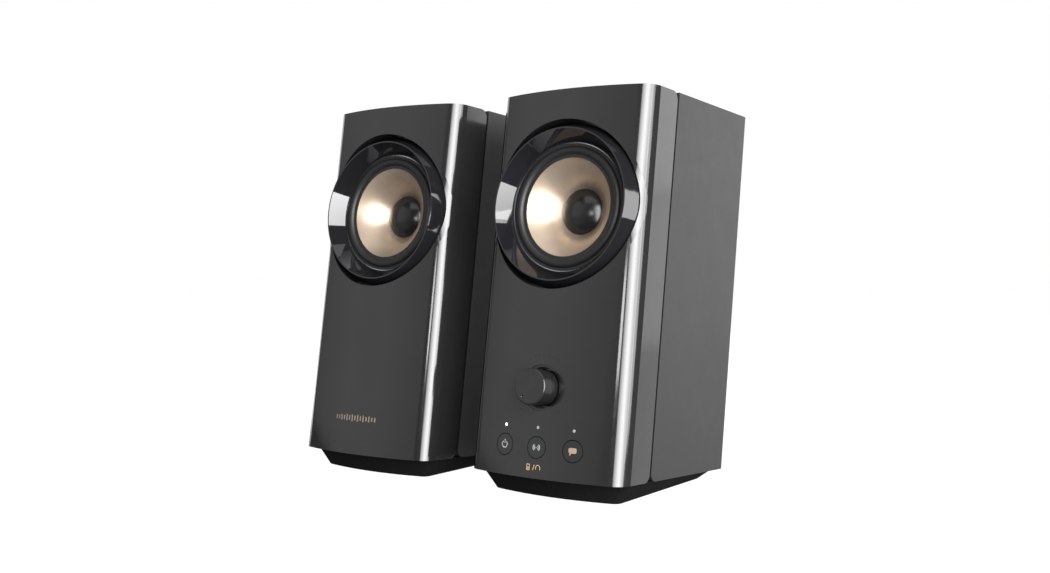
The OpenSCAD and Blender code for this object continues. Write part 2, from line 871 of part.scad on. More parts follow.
module potentiometer() {
    speaker(RIGHT)
        axis(0, knob_u)
            difference() {
                union() {
                    translate([0, 0, POT_D])
                        cylinder(r = POT_R, h = BOARD_D - POT_D);
                    translate([0, 0, well_d - NOSE])
                        cylinder(r = shaft_r + 0.5, h = POT_D - well_d + NOSE + CUT);
                    translate([0, 0, well_d + 1.5])
                        cylinder(r = shaft_r + 2, h = POT_D - well_d);
                }
                translate([0, 0, well_d - NOSE - CUT])
                    cylinder(r = shaft_r + FIT, h = SHAFT_END + 0.3 - well_d + NOSE + CUT);
            }
}

module potentiometer_nut() {
    speaker(RIGHT)
        axis(0, knob_u)
            translate([0, 0, well_d - NUT_T])
                difference() {
                    cylinder(r = NUT_R, h = NUT_T, $fn = 6);
                    translate([0, 0, -CUT])
                        cylinder(r = shaft_r + 0.5 + FIT, h = NUT_T + 2 * CUT);
                }
}

// Round button whose face follows the front, with a retaining flange and a stem.
module button(k) {
    x = k * button_pitch;
    flange = inner_d(abs(x) + button_r + 1);
    stem_end = BOARD_D - SWITCH_T - SWITCH_STEM - button_travel - 0.3;
    speaker(RIGHT)
        intersection() {
            axis(x, button_u) {
                cylinder(r = button_r, h = flange + BUTTON_FLANGE_T);
                translate([0, 0, flange])
                    cylinder(r = button_r + 1, h = BUTTON_FLANGE_T);
                cylinder(r = 1.6, h = stem_end);
            }
            linear_extrude(body_h)
                shell_plan(0);
        }
}

// Clear rods that carry the light from the board to the front.
module indicator_lights() {
    for (k = [-1 : 1])
        speaker(RIGHT)
            axis(k * button_pitch, light_u)
                translate([0, 0, face_d(button_pitch * abs(k)) + 0.05]) {
                    cylinder(r = light_r, h = BOARD_D - face_d(button_pitch * abs(k)) - 0.05, $fn = 32);
                    translate([0, 0, BOARD_D - face_d(button_pitch * abs(k)) - 2.05])
                        cylinder(r = light_r + 0.8, h = 2, $fn = 32);
                }
}

module control_board() {
    speaker(RIGHT)
        difference() {
            translate([-BOARD_X, BOARD_D, BOARD_US[0]])
                cube([2 * BOARD_X, board_t, BOARD_US[1] - BOARD_US[0]]);
            for (x = [-PEG_X, PEG_X], u = PEG_US)
                axis(x, u, BOARD_D - CUT)
                    cylinder(r = PEG_R / 2 + FIT, h = board_t + 2 * CUT);
        }
}

module button_switches() {
    speaker(RIGHT)
        each_button_axis(button_u) {
            translate([-SWITCH_W / 2, -SWITCH_W / 2, BOARD_D - SWITCH_T])
                cube([SWITCH_W, SWITCH_W, SWITCH_T]);
            translate([0, 0, BOARD_D - SWITCH_T - SWITCH_STEM])
                cylinder(r = 1.7, h = SWITCH_STEM);
        }
}

// ---- Electronics in the cabinets ----

// A board on the cabinet's posts, drilled for their screws.
module case_board(side, x, ds) {
    speaker(side)
        difference() {
            translate([-x, ds[0], board_u])
                cube([2 * x, ds[1] - ds[0], board_t]);
            each_board_post(side)
                translate([0, 0, -CUT])
                    cylinder(r = HOLE_R, h = board_t + 2 * CUT);
        }
}

// Comb of cooling fins beside the amplifier chip.
module heatsink() {
    fins = 6;
    pitch = 4;
    speaker(RIGHT)
        translate([LEAD_X + 3, AMP_POST_DS[0] + 6, board_u + board_t]) {
            cube([2, 24, 16]);
            for (k = [0 : fins - 1])
                translate([0, k * pitch + 1, 0])
                    cube([12, 1.6, 16]);
        }
}

module capacitors() {
    can_r = 5;
    speaker(RIGHT)
        for (k = [0 : 1])
            translate([-LEAD_X - can_r - 4, AMP_POST_DS[0] + can_r + k * (2 * can_r + 2), board_u + board_t])
                cylinder(r = can_r, h = 16);
}

// A socket body on a board, with a round nose through the rear panel and a blind bore.
module socket(x, w, nose_r, bore_r, bore_l) {
    nose = panel_t + 0.4;
    difference() {
        union() {
            translate([x - w / 2, PANEL_D - SOCKET_L, board_u + board_t])
                cube([w, SOCKET_L, SOCKET_H]);
            axis(x, SOCKET_U, PANEL_D - CUT)
                cylinder(r = nose_r, h = nose + CUT);
        }
        axis(x, SOCKET_U, PANEL_D + nose - bore_l)
            cylinder(r = bore_r, h = bore_l + CUT);
    }
}

module power_inlet() {
    bore_l = 9;
    speaker(RIGHT) {
        socket(-socket_pitch, 2 * INLET_NOSE_R + 0.6, INLET_NOSE_R, inlet_bore_r, bore_l);
        axis(-socket_pitch, SOCKET_U, PANEL_D + panel_t - bore_l)
            cylinder(r = INLET_PIN_R, h = bore_l - 1);
    }
}

module audio_socket(x) {
    socket(x, SOCKET_H + 1, SOCKET_NOSE_R, jack_bore_r, SOCKET_L + 2);
}

module audio_sockets() {
    speaker(RIGHT)
        for (x = [0, socket_pitch])
            audio_socket(x);
}

module link_socket() {
    speaker(LEFT)
        audio_socket(0);
}

// ---- The pieces ----

SHELL_GREY = [0.24, 0.24, 0.25];
CASE_GREY = [0.40, 0.40, 0.41];
SOFT_BLACK = [0.07, 0.07, 0.075];
GLOSS_BLACK = [0.03, 0.03, 0.035];
COPPER_TONE = [0.72, 0.45, 0.2];
IRON_TONE = [0.6, 0.6, 0.62];
CONE_TONE = [0.74, 0.62, 0.5];
BOARD_GREEN = [0.1, 0.35, 0.2];

function shown(name) = node == "all" || node == name;

if (shown("right_front_shell")) color(SHELL_GREY) front_shell(RIGHT);
if (shown("right_cabinet")) color(CASE_GREY) cabinet(RIGHT);
if (shown("right_seam_seal")) color(SOFT_BLACK) seam_seal(RIGHT);
if (shown("right_rear_panel")) color(CASE_GREY) rear_panel(RIGHT);
if (shown("right_port_tube")) color(SOFT_BLACK) port_tube(RIGHT);
if (shown("right_plinth")) color(SHELL_GREY) plinth(RIGHT);
if (shown("right_feet")) color(SOFT_BLACK) feet(RIGHT);
if (shown("right_trim_ring")) color(GLOSS_BLACK) trim_ring(RIGHT);
if (shown("right_basket")) color(IRON_TONE) basket(RIGHT);
if (shown("right_surround")) color(SOFT_BLACK) surround(RIGHT);
if (shown("right_cone")) color(CONE_TONE) cone(RIGHT);
if (shown("right_dust_cap")) color(SHELL_GREY) dust_cap(RIGHT);
if (shown("right_voice_coil")) color(COPPER_TONE) voice_coil(RIGHT);
if (shown("right_spider")) color(COPPER_TONE) spider(RIGHT);
if (shown("right_top_plate")) color(IRON_TONE) top_plate(RIGHT);
if (shown("right_magnet")) color(SHELL_GREY) magnet(RIGHT);
if (shown("right_back_plate")) color(IRON_TONE) back_plate(RIGHT);
if (shown("right_driver_screws")) color(IRON_TONE) driver_screws(RIGHT);
if (shown("right_case_screws")) color(IRON_TONE) case_screws(RIGHT);
if (shown("right_driver_leads")) color("firebrick") driver_leads(RIGHT);
if (shown("knob_well")) color(GLOSS_BLACK) knob_well();
if (shown("volume_knob")) color(SHELL_GREY) volume_knob();
if (shown("knob_shaft")) color(IRON_TONE) knob_shaft();
if (shown("potentiometer")) color(IRON_TONE) potentiometer();
if (shown("potentiometer_nut")) color(IRON_TONE) potentiometer_nut();
if (shown("power_button")) color(SHELL_GREY) button(-1);
if (shown("surround_mode_button")) color(SHELL_GREY) button(0);
if (shown("voice_mode_button")) color(SHELL_GREY) button(1);
if (shown("indicator_lights")) color("white") indicator_lights();
if (shown("control_board")) color(BOARD_GREEN) control_board();
if (shown("button_switches")) color(SOFT_BLACK) button_switches();
if (shown("amplifier_board")) color(BOARD_GREEN) case_board(RIGHT, AMP_X, AMP_DS);
if (shown("heatsink")) color(IRON_TONE) heatsink();
if (shown("capacitors")) color(SOFT_BLACK) capacitors();
if (shown("power_inlet")) color(SOFT_BLACK) power_inlet();
if (shown("audio_sockets")) color(SOFT_BLACK) audio_sockets();
if (shown("left_front_shell")) color(SHELL_GREY) front_shell(LEFT);
if (shown("left_cabinet")) color(CASE_GREY) cabinet(LEFT);
if (shown("left_seam_seal")) color(SOFT_BLACK) seam_seal(LEFT);
if (shown("left_rear_panel")) color(CASE_GREY) rear_panel(LEFT);
if (shown("left_port_tube")) color(SOFT_BLACK) port_tube(LEFT);
if (shown("left_plinth")) color(SHELL_GREY) plinth(LEFT);
if (shown("left_feet")) color(SOFT_BLACK) feet(LEFT);
if (shown("left_trim_ring")) color(GLOSS_BLACK) trim_ring(LEFT);
if (shown("left_basket")) color(IRON_TONE) basket(LEFT);
if (shown("left_surround")) color(SOFT_BLACK) surround(LEFT);
if (shown("left_cone")) color(CONE_TONE) cone(LEFT);
if (shown("left_dust_cap")) color(SHELL_GREY) dust_cap(LEFT);
if (shown("left_voice_coil")) color(COPPER_TONE) voice_coil(LEFT);
if (shown("left_spider")) color(COPPER_TONE) spider(LEFT);
if (shown("left_top_plate")) color(IRON_TONE) top_plate(LEFT);
if (shown("left_magnet")) color(SHELL_GREY) magnet(LEFT);
if (shown("left_back_plate")) color(IRON_TONE) back_plate(LEFT);
if (shown("left_driver_screws")) color(IRON_TONE) driver_screws(LEFT);
if (shown("left_case_screws")) color(IRON_TONE) case_screws(LEFT);
if (shown("left_driver_leads")) color("firebrick") driver_leads(LEFT);
if (shown("link_board")) color(BOARD_GREEN) case_board(LEFT, LINK_X, LINK_DS);
if (shown("link_socket")) color(SOFT_BLACK) link_socket();
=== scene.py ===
"""A pair of desktop loudspeakers: the right one with its controls, and the left one fed from it."""
import math

import bpy
import numpy as np
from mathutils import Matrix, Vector


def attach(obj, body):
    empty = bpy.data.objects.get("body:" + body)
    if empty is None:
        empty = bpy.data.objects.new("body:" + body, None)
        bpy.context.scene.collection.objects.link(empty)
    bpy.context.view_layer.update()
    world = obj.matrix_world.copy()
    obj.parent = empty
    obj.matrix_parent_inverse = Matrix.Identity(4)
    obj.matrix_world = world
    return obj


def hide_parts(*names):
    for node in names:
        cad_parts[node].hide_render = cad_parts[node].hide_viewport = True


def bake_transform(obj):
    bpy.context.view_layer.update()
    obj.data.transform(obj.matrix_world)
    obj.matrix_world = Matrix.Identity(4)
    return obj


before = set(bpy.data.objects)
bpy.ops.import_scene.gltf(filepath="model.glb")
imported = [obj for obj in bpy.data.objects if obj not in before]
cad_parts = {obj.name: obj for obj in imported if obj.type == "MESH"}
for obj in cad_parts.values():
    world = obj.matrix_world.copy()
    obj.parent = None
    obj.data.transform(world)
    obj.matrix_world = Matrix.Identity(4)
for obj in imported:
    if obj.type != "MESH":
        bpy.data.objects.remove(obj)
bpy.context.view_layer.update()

SIDES = {"right": 1, "left": -1}

# ---- Camera -------------------------------------------------------------------------
# It stands low and to the right of the pair, about 0.63 m from the middle.

view = bpy.data.objects.new("camera", bpy.data.cameras.new("camera"))
bpy.context.collection.objects.link(view)
view.location = (0.37395, -0.511264, 0.11451)
view.rotation_euler = (math.pi / 2 - 0.0219, 0, 0.6246)
view.data.lens = 39.468
view.data.sensor_width = 36
view.data.clip_start = 0.01
bpy.context.scene.camera = view

# ---- Front shells -------------------------------------------------------------------
# Each front is a deep tray moulded in charcoal ABS: a bulging face, tight upright corners
# and short side walls. The mould leaves a satin face with a very fine spark-eroded grain.

LEAN = math.radians(8.5)
PITCH = 0.1182
FRONT_Z = 0.0114
FRONT_Y = -0.067511
FACE_R = 0.1405


def place(side, x, u, d):
    """Points of one speaker: x across, u up its leaning front and d into its depth."""
    x, u, d = np.broadcast_arrays(np.asarray(x, float), u, d)
    return np.stack([SIDES[side] * PITCH / 2 + x,
                     FRONT_Y + d * math.cos(LEAN) + u * math.sin(LEAN),
                     FRONT_Z - d * math.sin(LEAN) + u * math.cos(LEAN)], -1)


def face_depth(x):
    """Depth of the bulging face at x: R less the root of R squared less x squared."""
    return FACE_R - np.sqrt(FACE_R ** 2 - np.asarray(x, float) ** 2)


def new_material(name):
    """An empty node material with its Principled shader, and its object coordinates."""
    m = bpy.data.materials.new(name)
    m.use_nodes = True
    n = m.node_tree.nodes
    shader = n["Principled BSDF"]
    coords = n.new("ShaderNodeTexCoord")
    return m, m.node_tree, shader, coords.outputs["Object"]


def noise(tree, where, size, detail=3.0, rough=0.55):
    """Noise whose blotches are about size metres across."""
    n = tree.nodes.new("ShaderNodeTexNoise")
    n.inputs["Scale"].default_value = 1 / size
    n.inputs["Detail"].default_value = detail
    n.inputs["Roughness"].default_value = rough
    tree.links.new(where, n.inputs["Vector"])
    return n.outputs["Fac"]


def spread(tree, value, low, high, start=0.3, end=0.7):
    """Value from start to end, carried to low to high."""
    n = tree.nodes.new("ShaderNodeMapRange")
    for k, v in zip(("From Min", "From Max", "To Min", "To Max"), (start, end, low, high)):
        n.inputs[k].default_value = v
    tree.links.new(value, n.inputs["Value"])
    return n.outputs["Result"]


def shade(tree, value, a, b):
    """Colour a where value is 0 and b where it is 1."""
    n = tree.nodes.new("ShaderNodeMix")
    n.data_type = "RGBA"
    tree.links.new(value, n.inputs[0])
    for k, c in ((6, a), (7, b)):
        if isinstance(c, (tuple, list)):
            n.inputs[k].default_value = (*c, 1)
        else:
            tree.links.new(c, n.inputs[k])
    return n.outputs[2]


def relief(tree, shader, height, depth, under=None):
    """Bumps the surface by height times depth, in metres, over any relief under it."""
    n = tree.nodes.new("ShaderNodeBump")
    n.inputs["Strength"].default_value = 1
    n.inputs["Distance"].default_value = depth
    tree.links.new(height, n.inputs["Height"])
    if under is not None:
        tree.links.new(under, n.inputs["Normal"])
    tree.links.new(n.outputs["Normal"], shader.inputs["Normal"])
    return n.outputs["Normal"]


def grained(name, colour, rough, grain=0.0003, depth=3e-6, mottle=0.07, metallic=0.0, ior=1.5,
            wear=0.03, specular=0.5):
    """A moulded, painted or metal finish: cloudy tone, uneven gloss and a fine grain."""
    m, tree, shader, where = new_material(name)
    clouds = noise(tree, where, 0.03, 4)
    dark, light = (tuple(c * (1 - mottle) for c in colour), tuple(c * (1 + mottle) for c in colour))
    tree.links.new(shade(tree, spread(tree, clouds, 0, 1), dark, light), shader.inputs["Base Color"])
    handled = noise(tree, where, 0.012, 5, 0.65)
    tree.links.new(spread(tree, handled, max(0.01, rough - wear), rough + wear), shader.inputs["Roughness"])
    relief(tree, shader, noise(tree, where, grain, 2), depth)
    shader.inputs["Metallic"].default_value = metallic
    shader.inputs["IOR"].default_value = ior
    shader.inputs["Specular IOR Level"].default_value = specular
    return m


def dress(node, material):
    """Gives a CAD node its material."""
    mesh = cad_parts[node].data
    mesh.materials.clear()
    mesh.materials.append(material)


def dress_both(name, material):
    for side in SIDES:
        dress(f"{side}_{name}", material)


shell_abs = grained("charcoal_abs", (0.010, 0.0099, 0.0098), 0.12, grain=0.00035, depth=2.2e-6, ior=1.55)
dress_both("front_shell", shell_abs)

# ---- Cabinets -----------------------------------------------------------------------
# The open box behind the front is moulded in a lighter grey with a coarser matt grain,
# with soft edges beside the gap. Its posts take the screws of the front and the rear.

CABINET_GREY = (0.0138, 0.0138, 0.0138)
GAP_END = 0.0328


def depth_behind(tree, where, side_start, side_end):
    """0 to 1 as the depth square to the fronts goes from side_start to side_end: the
    dot product of the place and the fronts' inward direction, less the front's own."""
    inward = tree.nodes.new("ShaderNodeVectorMath")
    inward.operation = "DOT_PRODUCT"
    inward.inputs[1].default_value = (0, math.cos(LEAN), -math.sin(LEAN))
    tree.links.new(where, inward.inputs[0])
    front = FRONT_Y * math.cos(LEAN) - FRONT_Z * math.sin(LEAN)
    return spread(tree, inward.outputs["Value"], 0, 1, front + side_start, front + side_end)


cabinet_abs, tree, shader, where = new_material("grey_matt_abs")
clouds = noise(tree, where, 0.03, 4)
grey = shade(tree, spread(tree, clouds, 0, 1),
             tuple(c * 0.95 for c in CABINET_GREY), tuple(c * 1.05 for c in CABINET_GREY))
# Painted shade: the cabinet's front rim at the gap is coloured near-black where the gap's shade falls, and
# grey behind it.
gap_shade_mask = depth_behind(tree, where, GAP_END + 0.0001, GAP_END + 0.0003)
tree.links.new(shade(tree, gap_shade_mask, (0.002, 0.002, 0.002), grey), shader.inputs["Base Color"])
tree.links.new(spread(tree, noise(tree, where, 0.012, 5, 0.65), 0.47, 0.54), shader.inputs["Roughness"])
relief(tree, shader, noise(tree, where, 0.0006, 2), 9e-6)
dress_both("cabinet", cabinet_abs)

# ---- Gap seals ----------------------------------------------------------------------
# A frame of soft black foam rubber closes the gap between front and cabinet from inside.

seal_foam = grained("black_foam_rubber", (0.012, 0.012, 0.013), 0.85, grain=0.0008, depth=4e-5, mottle=0.2)
dress_both("seam_seal", seal_foam)

# ---- Rear panels and ports ----------------------------------------------------------
# Flat ABS panels, recessed in the cabinet, each with a turned bass tube pushed in.

panel_abs = grained("black_panel_abs", (0.022, 0.022, 0.023), 0.5, grain=0.0007, depth=1.4e-5)
dress_both("rear_panel", panel_abs)
port_gloss = grained("port_tube_black", (0.012, 0.012, 0.013), 0.28, grain=0.0005, depth=3e-6)
dress_both("port_tube", port_gloss)

# ---- Plinths and feet ---------------------------------------------------------------
# A solid wedge carries each speaker; four rubber pads under it keep it from sliding.

plinth_abs = grained("plinth_abs", (0.006, 0.006, 0.006), 0.45, grain=0.0005, depth=8e-6, specular=0.1)
dress_both("plinth", plinth_abs)
foot_rubber = grained("foot_rubber", (0.015, 0.015, 0.015), 0.8, grain=0.0004, depth=2e-5, mottle=0.15)
dress_both("feet", foot_rubber)

# ---- Trim rings ---------------------------------------------------------------------
# Injection-moulded rings in high-gloss black: a sloping band, a sharp bright rim and a
# funnel down to the drive unit. Only the faintest ripple of the moulding shows.

ring_gloss = grained("high_gloss_black", (0.006, 0.006, 0.007), 0.045, grain=0.0016, depth=6e-7,
                     wear=0.015, ior=1.55, mottle=0.1)
dress_both("trim_ring", ring_gloss)

# ---- Surrounds ----------------------------------------------------------------------
# A half roll of butyl rubber joins cone and basket. The outer lip is glued to the flange and the inner one
# to the cone. It is laid in sixteen lengths.

DRIVER_U = 0.1328
FLANGE_D = 0.0096
ROLL_MID, ROLL_R, RUBBER_T = 0.02845, 0.0022, 0.0006
LIP_OUT, LIP_IN = 0.0319, 0.0248
LENGTHS, STEPS = 16, 24


def around(side, r, phi, d):
    """Points round the drive unit's axis at radius r, turn phi and depth d."""
    return place(side, r * np.cos(phi), DRIVER_U + r * np.sin(phi), d)


def swept(name, points, material, sharp):
    """A solid from a grid of points: rows are closed profiles, each carried to the next,
    and the two ends are filled."""
    rows, cols = points.shape[:2]
    i = np.arange(rows - 1)[:, None]
    j = np.arange(cols)[None, :]
    k, l = i + 1, (j + 1) % cols
    quads = np.stack([i * cols + j, i * cols + l, k * cols + l, k * cols + j], -1).reshape(-1, 4)
    faces = quads.tolist()
    faces += [list(range(cols - 1, -1, -1)), list(range((rows - 1) * cols, rows * cols))]
    mesh = bpy.data.meshes.new(name)
    mesh.from_pydata(points.reshape(-1, 3).tolist(), [], faces)
    outward(mesh)
    mesh.polygons.foreach_set("use_smooth", np.ones(len(mesh.polygons), bool))
    mesh.set_sharp_from_angle(angle=math.radians(sharp))
    mesh.materials.append(material)
    piece = bpy.data.objects.new(name, mesh)
    bpy.context.collection.objects.link(piece)
    return piece


def outward(mesh):
    """Turns the faces outwards where the mesh's signed volume comes out negative."""
    mesh.calc_loop_triangles()
    tri = np.empty(len(mesh.loop_triangles) * 3, np.int32)
    mesh.loop_triangles.foreach_get("vertices", tri)
    co = np.empty(len(mesh.vertices) * 3)
    mesh.vertices.foreach_get("co", co)
    a, b, c = np.moveaxis(co.reshape(-1, 3)[tri].reshape(-1, 3, 3), 1, 0)
    if np.einsum("ij,ij->i", a, np.cross(b, c)).sum() < 0:
        mesh.flip_normals()
    mesh.update()


def surround_profile():
    """Outer lip, half circle of radius R over the gap, inner lip, and back R less T."""
    edge = math.asin(RUBBER_T / ROLL_R)
    over = np.linspace(edge, math.pi - edge, 27)
    under = np.linspace(math.pi, 0, 21)
    front = FLANGE_D - RUBBER_T
    r = np.concatenate([[LIP_OUT, LIP_OUT - 0.0004], ROLL_MID + ROLL_R * np.cos(over), [LIP_IN, LIP_IN],
                        ROLL_MID + (ROLL_R - RUBBER_T) * np.cos(under), [LIP_OUT]])
    d = np.concatenate([[front, front], FLANGE_D - ROLL_R * np.sin(over), [front, FLANGE_D],
                        FLANGE_D - (ROLL_R - RUBBER_T) * np.sin(under), [FLANGE_D]])
    return r, d


butyl = grained("butyl_rubber", (0.006, 0.006, 0.0065), 0.5, grain=0.0005, depth=5e-6, mottle=0.15, ior=1.45)
roll_r, roll_d = surround_profile()
for side in SIDES:
    for n in range(LENGTHS):
        phi = np.linspace(n, n + 1, STEPS + 1) * math.tau / LENGTHS
        length = swept(f"{side}_surround_{n + 1:02d}",
                       around(side, roll_r[None, :], phi[:, None], roll_d[None, :]), butyl, sharp=50)
        middle = (n + 0.5) * math.tau / LENGTHS
        start, end = (around(side, r, middle, FLANGE_D) for r in (0.0302, 0.0260))
        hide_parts(f"{side}_surround")
        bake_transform(length)

# ---- Cones and dust caps ------------------------------------------------------------
# The cone is pressed from a champagne-coloured metallised sheet with a fine satin grain,
# and the domed cap over its neck is moulded in dark satin plastic.

CHAMPAGNE = (0.36, 0.285, 0.22)
cone_foil, tree, shader, where = new_material("champagne_cone")
flecks = noise(tree, where, 0.0004, 3)
clouds = noise(tree, where, 0.008, 4)
tone = shade(tree, spread(tree, clouds, 0, 1),
             tuple(c * 0.93 for c in CHAMPAGNE), tuple(c * 1.06 for c in CHAMPAGNE))
tree.links.new(tone, shader.inputs["Base Color"])
shader.inputs["Metallic"].default_value = 0.68
tree.links.new(spread(tree, flecks, 0.33, 0.38), shader.inputs["Roughness"])
relief(tree, shader, flecks, 4e-6)
dress_both("cone", cone_foil)
cap_abs = grained("satin_cap", (0.007, 0.0068, 0.0068), 0.22, grain=0.0003, depth=2e-6)
dress_both("dust_cap", cap_abs)

# ---- Baskets, magnets and coils -----------------------------------------------------
# Pressed and zinc-plated steel baskets carry the iron plates and a black ferrite ring.
# The coil is enamelled copper on a paper former, centred by a cloth disc dipped in resin.

plated = grained("zinc_plated_steel", (0.52, 0.53, 0.55), 0.32, grain=0.0007, depth=6e-6, metallic=1.0)
for name in ("basket", "top_plate", "back_plate"):
    dress_both(name, plated)
ferrite = grained("ferrite", (0.03, 0.03, 0.032), 0.6, grain=0.0009, depth=3e-5, mottle=0.2)
dress_both("magnet", ferrite)
copper = grained("enamelled_copper", (0.62, 0.28, 0.12), 0.28, grain=0.0002, depth=1e-5, metallic=0.9)
dress_both("voice_coil", copper)
cloth = grained("resin_cloth", (0.42, 0.27, 0.10), 0.8, grain=0.0006, depth=5e-5, mottle=0.15)
dress_both("spider", cloth)
lead_skin = grained("lead_insulation", (0.32, 0.03, 0.025), 0.45, grain=0.0005, depth=6e-6)
dress_both("driver_leads", lead_skin)

# ---- Screws -------------------------------------------------------------------------
# Thread-forming steel screws, blackened, go into the moulded posts.

black_steel = grained("blackened_steel", (0.09, 0.09, 0.095), 0.38, grain=0.0003, depth=5e-6, metallic=0.9)
for name in ("driver_screws", "case_screws"):
    dress_both(name, black_steel)

# ---- Volume knob and its well -------------------------------------------------------
# A hollow knob turns in a gloss black dish. Its face has the front's satin finish, and
# its side is polished.

KNOB_OUT = 0.010
knob_abs, tree, shader, where = new_material("knob_abs")
on_side = depth_behind(tree, where, 0.0005 - KNOB_OUT, 0.0009 - KNOB_OUT)
clouds = noise(tree, where, 0.006, 4)
face_tone = shade(tree, spread(tree, clouds, 0, 1), (0.012, 0.012, 0.012), (0.014, 0.014, 0.014))
tree.links.new(shade(tree, on_side, face_tone, (0.008, 0.008, 0.008)), shader.inputs["Base Color"])
tree.links.new(spread(tree, on_side, 0.14, 0.1, 0, 1), shader.inputs["Roughness"])
shader.inputs["IOR"].default_value = 1.42
relief(tree, shader, noise(tree, where, 0.00035, 2), 2e-6)
dress("volume_knob", knob_abs)
dress("knob_well", ring_gloss)
steel = grained("turned_steel", (0.55, 0.56, 0.58), 0.25, grain=0.0004, depth=4e-6, metallic=1.0)
for name in ("knob_shaft", "potentiometer", "potentiometer_nut"):
    dress(name, steel)

# ---- Buttons ------------------------------------------------------------------------
# Three caps of the same ABS lie flush in the front. Each is printed with its own sign.

for name in ("power_button", "surround_mode_button", "voice_mode_button"):
    dress(name, shell_abs)

BUTTON_U, BUTTON_PITCH = 0.0147, 0.0197
LIFT = 0.00003


def printed(name, side, runs, width, material, lift=LIFT):
    """Ink lines on the face: each run of (x, u) points carries a flat oblong profile,
    width across the run and lift before and behind the face."""
    grids = []
    for n, run in enumerate(runs):
        p = np.asarray(run, float)
        along = np.gradient(p, axis=0)
        along /= np.linalg.norm(along, axis=1)[:, None]
        across = np.stack([-along[:, 1], along[:, 0]], -1) * np.broadcast_to(width, len(p))[:, None] / 2
        a, b = p + across, p - across
        rows = [place(side, q[:, 0], q[:, 1], face_depth(q[:, 0]) + s * lift)
                for q, s in ((a, -1), (b, -1), (b, 1), (a, 1))]
        grids.append(np.stack(rows, 1))
    pieces = [swept(f"{name}_{n}", g, material, sharp=30) for n, g in enumerate(grids)]
    return joined(name, pieces)


def joined(name, pieces):
    """The pieces' meshes as one mesh, in one object."""
    first = pieces[0]
    with bpy.context.temp_override(active_object=first, object=first, selected_objects=pieces,
                                   selected_editable_objects=pieces):
        if len(pieces) > 1:
            bpy.ops.object.join()
    first.name = first.data.name = name
    return first


def arc(cx, cu, r, start, end, n=40):
    """Points on a circle round (cx, cu), from one angle to another in degrees."""
    t = np.radians(np.linspace(start, end, n))
    return np.stack([cx + r * np.cos(t), cu + r * np.sin(t)], -1)


def line(x0, u0, x1, u1, n=8):
    t = np.linspace(0, 1, n)[:, None]
    return np.array([[x0, u0]]) * (1 - t) + np.array([[x1, u1]]) * t


def ink(name, colour):
    return grained(name, colour, 0.45, grain=0.0001, depth=3e-6, mottle=0.12)


grey_ink = ink("grey_ink", (0.30, 0.31, 0.32))
green_ink = ink("green_grey_ink", (0.22, 0.25, 0.235))
amber_ink = ink("amber_ink", (0.20, 0.14, 0.098))
x, u = -BUTTON_PITCH, BUTTON_U
SIGN_LINE = 0.00045
sign = printed("power_sign", "right", [arc(x, u, 0.0016, 125, 415), line(x, u + 0.0005, x, u + 0.0024)],
               SIGN_LINE, grey_ink)
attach(sign, "power_key")
waves = [arc(0, u, r, c - 48, c + 48, 16) for r in (0.0011, 0.0019) for c in (0, 180)]
waves.append(line(-0.0003, u, 0.0003, u))
sign = printed("surround_sign", "right", waves, SIGN_LINE, green_ink)
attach(sign, "surround_key")
x = BUTTON_PITCH
t = np.linspace(-1, 1, 25)
bubble = printed("voice_bubble", "right", [np.stack([x + 0.0021 * t, u + 0.0003 + 0 * t], -1)],
                 0.0026 * (1.0001 - t ** 4) ** 0.25, amber_ink)
tail = printed("voice_tail", "right", [line(x - 0.0008, u - 0.0007, x - 0.0013, u - 0.0019)],
               0.0007, amber_ink)
sign = joined("voice_sign", [bubble, tail])
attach(sign, "voice_key")

# ---- Printed marks on the right front ------------------------------------------------
# Screen-printed marks: ticks over the knob, less and more beside it, and two small
# signs, a loudspeaker and a headphone, under the middle button.

KNOB_U = 0.0432
dark_ink = ink("dark_ink", (0.008, 0.008, 0.008))
TICK_START, TICK_END = 0.0150, 0.0162
turns = [math.radians(a) for a in range(-30, 31, 10)]
ticks = [line(TICK_START * math.sin(a), KNOB_U + TICK_START * math.cos(a),
              TICK_END * math.sin(a), KNOB_U + TICK_END * math.cos(a)) for a in turns]
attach(printed("volume_ticks", "right", ticks, 0.0004, dark_ink), "right_speaker")
SIGN_X, SIGN_U, SIGN_HALF = 0.0107, 0.0322, 0.0009
ends = [line(-SIGN_X - SIGN_HALF, SIGN_U, -SIGN_X + SIGN_HALF, SIGN_U),
        line(SIGN_X - SIGN_HALF, SIGN_U, SIGN_X + SIGN_HALF, SIGN_U),
        line(SIGN_X, SIGN_U - SIGN_HALF, SIGN_X, SIGN_U + SIGN_HALF)]
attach(printed("less_and_more", "right", ends, 0.0004, dark_ink), "right_speaker")
u = 0.0052
signs = [line(-0.0011, u - 0.0013, -0.0003, u + 0.0013), arc(0.0018, u, 0.0012, 0, 180, 24),
         line(0.0006, u, 0.0006, u - 0.0009), line(0.0030, u, 0.0030, u - 0.0009),
         line(-0.0047, u - 0.0013, -0.0047, u + 0.0013), line(-0.0031, u - 0.0013, -0.0031, u + 0.0013),
         line(-0.0047, u + 0.0013, -0.0031, u + 0.0013), line(-0.0047, u - 0.0013, -0.0031, u - 0.0013),
         arc(-0.0039, u - 0.0004, 0.0003, 0, 360, 20), line(-0.00391, u + 0.0007, -0.00389, u + 0.0007, 4)]
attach(printed("output_signs", "right", signs, 0.00034, ink("tan_ink", (0.36, 0.24, 0.14))), "right_speaker")

# ---- Indicator lights ---------------------------------------------------------------
# Clear acrylic rods; the one over the power button is lit.

